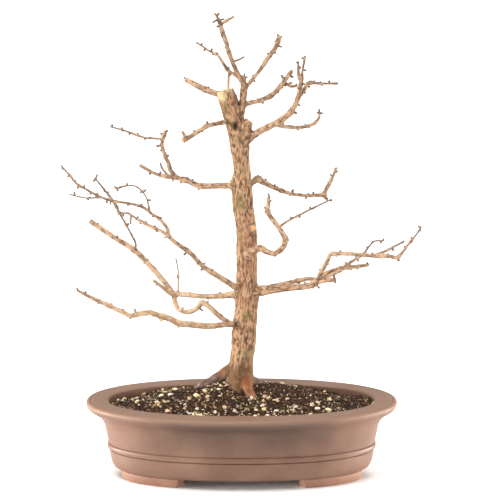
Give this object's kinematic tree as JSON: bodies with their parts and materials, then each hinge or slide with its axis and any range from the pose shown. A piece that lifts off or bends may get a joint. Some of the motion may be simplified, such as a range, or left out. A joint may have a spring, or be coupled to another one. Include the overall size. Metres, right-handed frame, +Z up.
{
  "type": "dawn redwood bonsai",
  "caption": "Leafless dawn redwood grown as an upright bonsai, with bare budded limbs, in gritty soil in an oval footed pot of unglazed stoneware.",
  "frame": {"origin": "on the surface that the pot stands on, under the middle of the pot", "axes": "+X to the right of the front view along the pot's length, +Y away from the viewer, +Z up the tree"},
  "size_m": [0.4004, 0.2, 0.5408],
  "materials": {
    "bark": "matte",
    "soil": "matte",
    "stoneware": "matte",
    "mesh": "matte",
    "wire": "satin"
  },
  "bodies": {
    "root": {"tree": "bark", "soil": "soil", "pot": "stoneware", "drain_mesh_left": "mesh", "drain_mesh_right": "mesh", "drain_staple_left": "wire", "drain_staple_right": "wire"}
  },
  "joints": []
}
